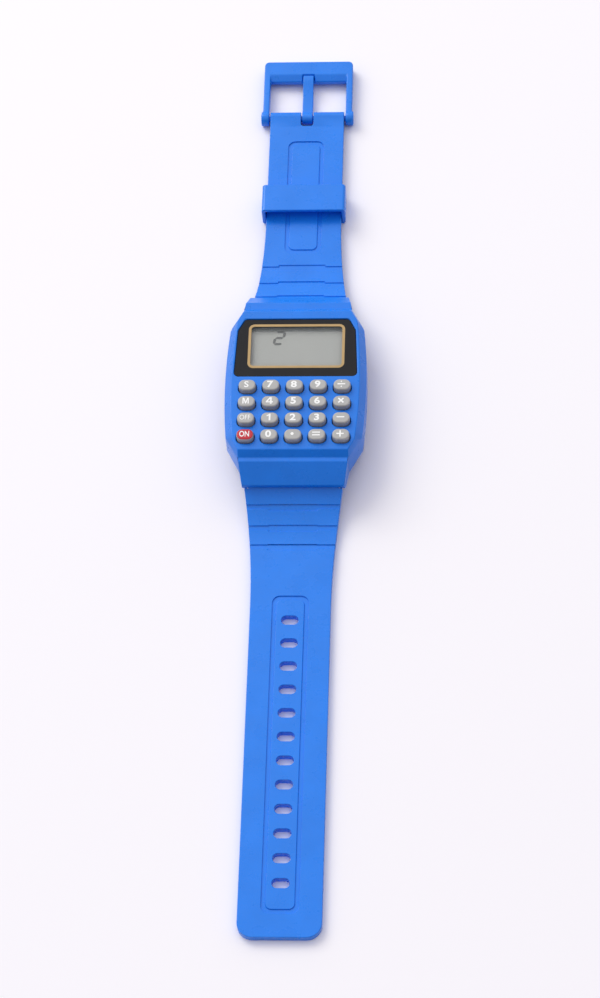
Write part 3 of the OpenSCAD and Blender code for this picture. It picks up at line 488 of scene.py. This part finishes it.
mouldedPieces = {
    "case_shell": ("caseMoulding", "case", "caseBlue", caseRadius),
    "back_cover": ("backCoverMoulding", "case", "caseBlue", evenRadius(0.1)),
    "display_mask": ("maskMoulding", "case", "panelBlack", panelRadius),
    "strap_upper": ("upperStrapMoulding", "strap_upper", "strapBlue", strapRadius),
    "strap_lower": ("lowerStrapMoulding", "strap_lower", "strapBlue", strapRadius),
    "strap_keeper": ("keeperMoulding", "keeper", "strapBlue", evenRadius(0.25)),
    "buckle_frame": ("buckleMoulding", "buckle", "strapBlue", evenRadius(0.3)),
    "buckle_tongue": ("tongueMoulding", "tongue", "strapBlue", evenRadius(0.2)),
    "buckle_pin": ("pinMoulding", "buckle", "strapBlue", evenRadius(0.1)),
}
for nodeName, (pieceName, body, finish, radius) in mouldedPieces.items():
    piece = mouldedCopy(nodeName, pieceName, radius)
    slotName = "black_mask" if nodeName == "display_mask" else "blue_plastic"
    finishPiece(piece, body, slotName, nodeName, material=finish)
    print("moulded", pieceName, len(piece.data.polygons), "faces")


# Starts a geometry tree with its named inputs: the lengths in sizes and the materials
def startTree(name, sizes, finishNames):
    tree = bpy.data.node_groups.new(name, "GeometryNodeTree")
    for size in sizes:
        tree.interface.new_socket(size, in_out="INPUT", socket_type="NodeSocketFloat")
    for finish in finishNames:
        tree.interface.new_socket(finish, in_out="INPUT", socket_type="NodeSocketMaterial")
    tree.interface.new_socket("Geometry", in_out="OUTPUT", socket_type="NodeSocketGeometry")
    return tree, tree.nodes.new("NodeGroupInput").outputs


def endTree(tree, geometry):
    tree.links.new(geometry, tree.nodes.new("NodeGroupOutput").inputs[0])


def moveMesh(tree, mesh, x, y, z):
    offset = addNode(tree, "ShaderNodeCombineXYZ", X=x, Y=y, Z=z).outputs["Vector"]
    return addNode(tree, "GeometryNodeTransform", Geometry=mesh, Translation=offset).outputs["Geometry"]


# A closed block with rounded upright corners, standing on z = 0
def roundedBlock(tree, width, length, corner, height, cornerSteps):
    outline = addNode(
        tree, "GeometryNodeCurvePrimitiveQuadrilateral", Width=width, Height=length,
    ).outputs["Curve"]
    rounded = addNode(
        tree, "GeometryNodeFilletCurve", {"mode": "POLY"},
        Curve=outline, Radius=corner, Count=cornerSteps, Limit_Radius=True,
    ).outputs["Curve"]
    base = addNode(tree, "GeometryNodeFillCurve", {"mode": "NGONS"}, Curve=rounded).outputs["Mesh"]
    raised = addNode(tree, "GeometryNodeExtrudeMesh", Mesh=base, Offset_Scale=height, Individual=False)
    joined = addNode(tree, "GeometryNodeJoinGeometry")
    for part in (addNode(tree, "GeometryNodeFlipFaces", Mesh=base), raised):
        tree.links.new(part.outputs["Mesh"], joined.inputs["Geometry"])
    return addNode(
        tree, "GeometryNodeMergeByDistance", Geometry=joined.outputs["Geometry"],
        Distance=moulding["blockMergeWithin"] * mm,
    ).outputs["Geometry"]


def combineMeshes(tree, operation, *meshes):
    made = addNode(tree, "GeometryNodeMeshBoolean", {"operation": operation, "solver": "EXACT"})
    if operation == "DIFFERENCE":
        tree.links.new(meshes[0], made.inputs["Mesh 1"])
        meshes = meshes[1:]
    for mesh in meshes:
        tree.links.new(mesh, made.inputs["Mesh 2"])
    return made.outputs["Mesh"]


# Weighs the sharp edges for roundEdges: 1 on those at the given height, less on the others
def weighEdges(tree, mesh, height, others):
    position = addNode(tree, "GeometryNodeInputPosition").outputs["Position"]
    z = addNode(tree, "ShaderNodeSeparateXYZ", Vector=position).outputs["Z"]
    there = reckon(tree, "COMPARE", z, height, moulding["levelWithin"] * mm)
    sharp = reckon(
        tree, "GREATER_THAN",
        addNode(tree, "GeometryNodeInputMeshEdgeAngle").outputs["Unsigned Angle"],
        math.radians(moulding["sharpFrom"]),
    )
    weight = reckon(tree, "MULTIPLY", sharp, reckon(tree, "MULTIPLY_ADD", there, 1 - others, others))
    stored = addNode(
        tree, "GeometryNodeStoreNamedAttribute", {"data_type": "FLOAT", "domain": "EDGE"},
        Geometry=mesh, Name="bevel_weight_edge", Value=weight,
    ).outputs["Geometry"]
    return addNode(tree, "GeometryNodeSetShadeSmooth", Geometry=stored).outputs["Geometry"]


# Runs a tree on a new object, rounds its weighed edges and keeps the result as a plain mesh
def growPiece(name, tree, sizes, finishNames, edgeWidth, edgeSteps):
    piece = linkObject(name, bpy.data.meshes.new(name))
    grower = piece.modifiers.new("grow", "NODES")
    grower.node_group = tree
    for item in tree.interface.items_tree:
        if item.name in sizes:
            grower[item.identifier] = sizes[item.name] * mm
        elif item.name in finishNames:
            grower[item.identifier] = materials[finishNames[item.name]]
    roundEdges(piece, edgeWidth, edgeSteps)
    bakeModifiers(piece)
    return piece


# The 20 keys: a cap with a rounded rim, a flange that holds it in the case, a foot for the mat
keyCap = {
    "Width": 4.1, "Length": 3.05, "Corner": 1.42, "Cap top": 10.0,
    "Flange length": 3.85, "Flange bottom": 6.2, "Flange top": 6.85,
    "Foot width": 2.4, "Foot length": 1.8, "Foot corner": 0.3, "Foot bottom": 5.6,
}
# The rim's width in mm, the share of it that other edges get, and the steps of rims and corners
keyRim = {
    "width": 0.42, "steps": 6, "others": 0.25, "cornerSteps": 9, "footCornerSteps": 4,
    "topWithin": 0.02,      # mm
}


def makeKeyTree():
    tree, size = startTree("growKey", ["Middle x", "Middle y", *keyCap], ["Side finish", "Top finish"])
    flangeHeight = reckon(tree, "SUBTRACT", size["Flange top"], size["Flange bottom"])
    capHeight = reckon(tree, "SUBTRACT", size["Cap top"], size["Flange bottom"])
    footHeight = reckon(tree, "SUBTRACT", size["Flange bottom"], size["Foot bottom"])
    steps = keyRim["cornerSteps"]
    cap = roundedBlock(tree, size["Width"], size["Length"], size["Corner"], capHeight, steps)
    flange = roundedBlock(tree, size["Width"], size["Flange length"], size["Corner"], flangeHeight, steps)
    foot = roundedBlock(
        tree, size["Foot width"], size["Foot length"], size["Foot corner"], footHeight,
        keyRim["footCornerSteps"],
    )
    key = combineMeshes(
        tree, "UNION",
        moveMesh(tree, cap, size["Middle x"], size["Middle y"], size["Flange bottom"]),
        moveMesh(tree, flange, size["Middle x"], size["Middle y"], size["Flange bottom"]),
        moveMesh(tree, foot, size["Middle x"], size["Middle y"], size["Foot bottom"]),
    )
    key = weighEdges(tree, key, size["Cap top"], keyRim["others"])
    key = addNode(tree, "GeometryNodeRealizeInstances", Geometry=key).outputs["Geometry"]
    key = addNode(
        tree, "GeometryNodeSetMaterial", Geometry=key, Material=size["Side finish"],
    ).outputs["Geometry"]
    position = addNode(tree, "GeometryNodeInputPosition").outputs["Position"]
    height = addNode(tree, "ShaderNodeSeparateXYZ", Vector=position).outputs["Z"]
    isTop = reckon(tree, "COMPARE", height, size["Cap top"], keyRim["topWithin"] * mm)
    endTree(tree, addNode(
        tree, "GeometryNodeSetMaterial", Geometry=key, Selection=isTop, Material=size["Top finish"],
    ).outputs["Geometry"])
    return tree


keyNodes = [name for name in cadNodes if name.startswith("key_") and name != "key_mat"]
keyTree = makeKeyTree()
keyMiddles = {}
for name in keyNodes:
    low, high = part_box(name)
    keyMiddles[name] = (Vector(low) + Vector(high)) / 2 / mm
    sizes = {"Middle x": keyMiddles[name].x, "Middle y": keyMiddles[name].y, **keyCap}
    top = "keyRed" if name == "key_on" else "keyGrey"
    key = growPiece(
        "cap_" + name[4:], keyTree, sizes, {"Side finish": "keyGrey", "Top finish": top},
        keyRim["width"], keyRim["steps"],
    )
    finishPiece(key, name, "key_red" if name == "key_on" else "key_grey", name)
print("keys made:", len(keyNodes), "of", len(key.data.polygons), "faces")


# The white print on the keys. Letters are set by height and stretched in width, signs are drawn
print3d = {"bottom": 9.98, "top": 10.02, "moveX": -0.15, "moveY": 0.1}      # mm
glyph = {"curveSteps": 4, "draftDepth": 0.5, "mergeWithin": 0.0005}         # in letter heights
lettering = {
    "bold": {"height": 1.86, "stretch": 1.18, "weight": 0.035},
    "plain": {"height": 1.7, "stretch": 1.1, "weight": 0.018},
    "small": {"height": 1.35, "stretch": 0.80, "weight": 0.004},
    "onBold": {"height": 1.6, "stretch": 0.72, "weight": 0.02},
}
# Outlines in mm, anticlockwise, for the three that the font draws differently
drawnLetters = {
    "key_1": [[(-0.02, -0.93), (0.42, -0.93), (0.42, 0.93), (0.05, 0.93), (-0.12, 0.70), (-0.52, 0.52),
               (-0.52, 0.20), (-0.02, 0.40)]],
    "key_4": [[(0.14, -0.93), (0.54, -0.93), (0.54, 0.93), (0.14, 0.93)],
              [(0.14, -0.54), (0.14, -0.21), (-0.40, -0.21), (0.14, 0.50), (0.14, 0.93), (0.02, 0.93),
               (-0.86, -0.24), (-0.86, -0.54)],
              [(0.54, -0.54), (0.84, -0.54), (0.84, -0.21), (0.54, -0.21)]],
    "key_m": [[(-0.78, -0.82), (-0.48, -0.82), (-0.48, 0.30), (-0.12, -0.82), (0.12, -0.82), (0.48, 0.30),
               (0.48, -0.82), (0.78, -0.82), (0.78, 0.82), (0.36, 0.82), (0.0, -0.25), (-0.36, 0.82),
               (-0.78, 0.82)]],
}
signSizes = {
    "bar": 1.87, "stroke": 0.34, "apart": 0.74, "dot": 0.78, "smallDot": 0.36, "dotsApart": 0.703,
    "plus": 1.75, "plusStroke": 0.357, "times": 1.75, "timesStroke": 0.391, "dotSides": 20,
}
keyWords = {
    "key_s": ("S", "plain"), "key_off": ("OFF", "small"), "key_on": ("ON", "onBold"),
    **{"key_" + digit: (digit, "bold") for digit in "02356789"},
}


# Closed plates from outlines in mm that turn anticlockwise
def makePlates(name, outlines, bottom, top):
    work = bmesh.new()
    for outline in outlines:
        lower = [work.verts.new((x * mm, y * mm, bottom * mm)) for x, y in outline]
        upper = [work.verts.new((x * mm, y * mm, top * mm)) for x, y in outline]
        work.faces.new(lower[::-1])
        work.faces.new(upper)
        for i in range(len(outline)):
            j = (i + 1) % len(outline)
            work.faces.new((lower[i], lower[j], upper[j], upper[i]))
    mesh = bpy.data.meshes.new(name)
    work.to_mesh(mesh)
    work.free()
    return linkObject(name, mesh)


def barOutline(width, height, y=0.0):
    return [(-width / 2, y - height / 2), (width / 2, y - height / 2),
            (width / 2, y + height / 2), (-width / 2, y + height / 2)]


def crossOutline(reach, stroke, turn):
    arm, half = reach / 2, stroke / 2
    corners = [(arm, -half), (arm, half), (half, half)]
    points = []
    for quarter in range(4):
        angle = math.radians(90 * quarter + turn)
        cos, sin = math.cos(angle), math.sin(angle)
        points += [(x * cos - y * sin, x * sin + y * cos) for x, y in corners]
    return points


def dotOutline(width, y=0.0):
    sides = signSizes["dotSides"]
    angles = [2 * math.pi * i / sides for i in range(sides)]
    return [(math.cos(a) * width / 2, y + math.sin(a) * width / 2) for a in angles]


def signOutlines(name):
    s = signSizes
    return {
        "key_minus": [barOutline(s["bar"], s["stroke"])],
        "key_equals": [barOutline(s["bar"], s["stroke"], s["apart"] / 2),
                       barOutline(s["bar"], s["stroke"], -s["apart"] / 2)],
        "key_divide": [barOutline(s["bar"], s["stroke"]), dotOutline(s["smallDot"], s["dotsApart"]),
                       dotOutline(s["smallDot"], -s["dotsApart"])],
        "key_plus": [crossOutline(s["plus"], s["plusStroke"], 0)],
        "key_multiply": [crossOutline(s["times"], s["timesStroke"], 45)],
        "key_point": [dotOutline(s["dot"])],
        **drawnLetters,
    }[name]


def makeLetters(name, words, style):
    curve = bpy.data.curves.new(name, "FONT")
    curve.body = words
    curve.offset = style["weight"]
    curve.extrude = glyph["draftDepth"]
    curve.resolution_u = glyph["curveSteps"]
    draft = linkObject(name + "Draft", curve)
    mesh = evaluatedMesh(draft)
    bpy.data.objects.remove(draft)
    work = bmesh.new()
    work.from_mesh(mesh)
    bmesh.ops.remove_doubles(work, verts=work.verts, dist=glyph["mergeWithin"])
    xs, ys = [v.co.x for v in work.verts], [v.co.y for v in work.verts]
    scale = style["height"] / (max(ys) - min(ys)) * mm
    middleX, middleY = (max(xs) + min(xs)) / 2, (max(ys) + min(ys)) / 2
    for vert in work.verts:
        vert.co.x = (vert.co.x - middleX) * scale * style["stretch"]
        vert.co.y = (vert.co.y - middleY) * scale
        vert.co.z = (print3d["top"] if vert.co.z > 0 else print3d["bottom"]) * mm
    work.to_mesh(mesh)
    work.free()
    mesh.name = name
    return linkObject(name, mesh)


for name in keyNodes:
    label = "print_" + name[4:]
    if name in keyWords:
        words, style = keyWords[name]
        printed = makeLetters(label, words, lettering[style])
    else:
        printed = makePlates(label, signOutlines(name), print3d["bottom"], print3d["top"])
    shift = Vector((keyMiddles[name].x + print3d["moveX"], keyMiddles[name].y + print3d["moveY"], 0))
    printed.data.transform(Matrix.Translation(shift * mm))
    finishPiece(printed, name, "white_plastic", material="printWhite")
print("key print made")


# The numeral on the display: bars with pointed ends, leaning to the right
displayDigit = {
    "middle": (-4.3, 12.85), "width": 2.7, "height": 4.2, "stroke": 0.68, "gap": 0.05, "lean": 0.19,
    "bottom": 6.895, "top": 6.92,       # mm
}


def digitOutlines(look):
    w, h, t = look["width"] - look["stroke"], look["height"] - look["stroke"], look["stroke"]
    shown = [
        ((0, h), (w, h)), ((w, h / 2), (w, h)), ((0, h / 2), (w, h / 2)),
        ((0, 0), (0, h / 2)), ((0, 0), (w, 0)),
    ]
    outlines = []
    for (x0, y0), (x1, y1) in shown:
        start, end = Vector((x0, y0)), Vector((x1, y1))
        along = (end - start).normalized()
        across = Vector((-along.y, along.x)) * t / 2
        start, end = start + along * look["gap"], end - along * look["gap"]
        inset = along * t / 2
        points = [
            start, start + inset - across, end - inset - across,
            end, end - inset + across, start + inset + across,
        ]
        outlines.append([
            (p.x - w / 2 + look["lean"] * (p.y - h / 2) + look["middle"][0], p.y - h / 2 + look["middle"][1])
            for p in points
        ])
    return outlines


digit = makePlates("displayNumeral", digitOutlines(displayDigit), displayDigit["bottom"], displayDigit["top"])
finishPiece(digit, "case", "black_mask", material="segmentInk")
print("display numeral made")


# Four screws with crossed recesses hold the back cover
screw = {
    "Head radius": 1.0, "Head height": 0.5, "Shank radius": 0.5, "Shank length": 2.6,
    "Recess length": 1.2, "Recess width": 0.3, "Recess depth": 0.25,
}
screwRim = {"width": 0.08, "steps": 2, "others": 0.3, "headSides": 40, "shankSides": 24}


def makeScrewTree():
    tree, size = startTree("growScrews", ["Apart x", "Apart y", *screw], ["Finish"])

    def rod(radius, height, sides):
        made = addNode(
            tree, "GeometryNodeMeshCylinder", {"fill_type": "NGON"},
            Vertices=sides, Radius=radius, Depth=height,
        ).outputs["Mesh"]
        return moveMesh(tree, made, 0.0, 0.0, reckon(tree, "DIVIDE", height, 2))

    def blade(sizeX, sizeY):
        deep = reckon(tree, "MULTIPLY", size["Recess depth"], 2)
        extent = addNode(tree, "ShaderNodeCombineXYZ", X=sizeX, Y=sizeY, Z=deep).outputs["Vector"]
        return addNode(tree, "GeometryNodeMeshCube", Size=extent).outputs["Mesh"]

    body = combineMeshes(
        tree, "UNION",
        rod(size["Head radius"], size["Head height"], screwRim["headSides"]),
        rod(size["Shank radius"], size["Shank length"], screwRim["shankSides"]),
    )
    cut = combineMeshes(
        tree, "DIFFERENCE", body,
        blade(size["Recess length"], size["Recess width"]),
        blade(size["Recess width"], size["Recess length"]),
    )
    weighed = weighEdges(tree, cut, 0.0, screwRim["others"])
    grid = addNode(
        tree, "GeometryNodeMeshGrid", Vertices_X=2, Vertices_Y=2,
        Size_X=size["Apart x"], Size_Y=size["Apart y"],
    ).outputs["Mesh"]
    placed = addNode(tree, "GeometryNodeInstanceOnPoints", Points=grid, Instance=weighed).outputs["Instances"]
    whole = addNode(tree, "GeometryNodeRealizeInstances", Geometry=placed).outputs["Geometry"]
    endTree(tree, addNode(
        tree, "GeometryNodeSetMaterial", Geometry=whole, Material=size["Finish"],
    ).outputs["Geometry"])
    return tree


low, high = [Vector(corner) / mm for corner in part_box("back_screws")]
sizes = {
    "Apart x": high.x - low.x - 2 * screw["Head radius"],
    "Apart y": high.y - low.y - 2 * screw["Head radius"],
    **screw,
}
screws = growPiece(
    "coverScrews", makeScrewTree(), sizes, {"Finish": "steelBrushed"}, screwRim["width"], screwRim["steps"],
)
finishPiece(screws, "case", "steel", "back_screws")
print("screws made:", len(screws.data.polygons), "faces")


# Plain solids that keep their shape and get a finish
keptFinishes = {
    "lineGold": ["window_border"],
    "lensClear": ["display_lens"],
    "filmGrey": ["display_film", "display_reflector"],
    "cellGlass": ["front_glass", "rear_glass"],
    "foamWhite": ["display_foam"],
    "rubberLayered": ["zebra_connector"],
    "rubberDark": ["key_mat"],
    "platingGold": ["contact_pads", "cell_contact_top", "cell_contact_side"],
    "resinBlack": ["chip_resin"],
    "steelBrushed": ["crystal_can", "button_cell", "spring_bar_upper", "spring_bar_lower"],
    "boardGreen": ["circuit_board"],
    "frameWhite": ["module_frame"],
}
for finish, names in keptFinishes.items():
    for name in names:
        setFinish(cadNodes[name], finish)
print("plain solids finished")


# Pale table that the straps and the buckle lie on
def makeFloor(look):
    half = look["floorSize"] / 2
    height = cadBox[0].z
    mesh = bpy.data.meshes.new("table")
    corners = [(-half, -half, height), (half, -half, height), (half, half, height), (-half, half, height)]
    mesh.from_pydata(corners, [], [(0, 1, 2, 3)])
    table = linkObject("table", mesh)
    material = bpy.data.materials.new("tableWhite")
    material.use_nodes = True
    surface = material.node_tree.nodes["Principled BSDF"]
    surface.inputs["Base Color"].default_value = (*look["floorColour"], 1)
    surface.inputs["Roughness"].default_value = look["floorRoughness"]
    surface.inputs["Specular IOR Level"].default_value = look["floorSpecular"]
    mesh.materials.append(material)


makeFloor(studio)
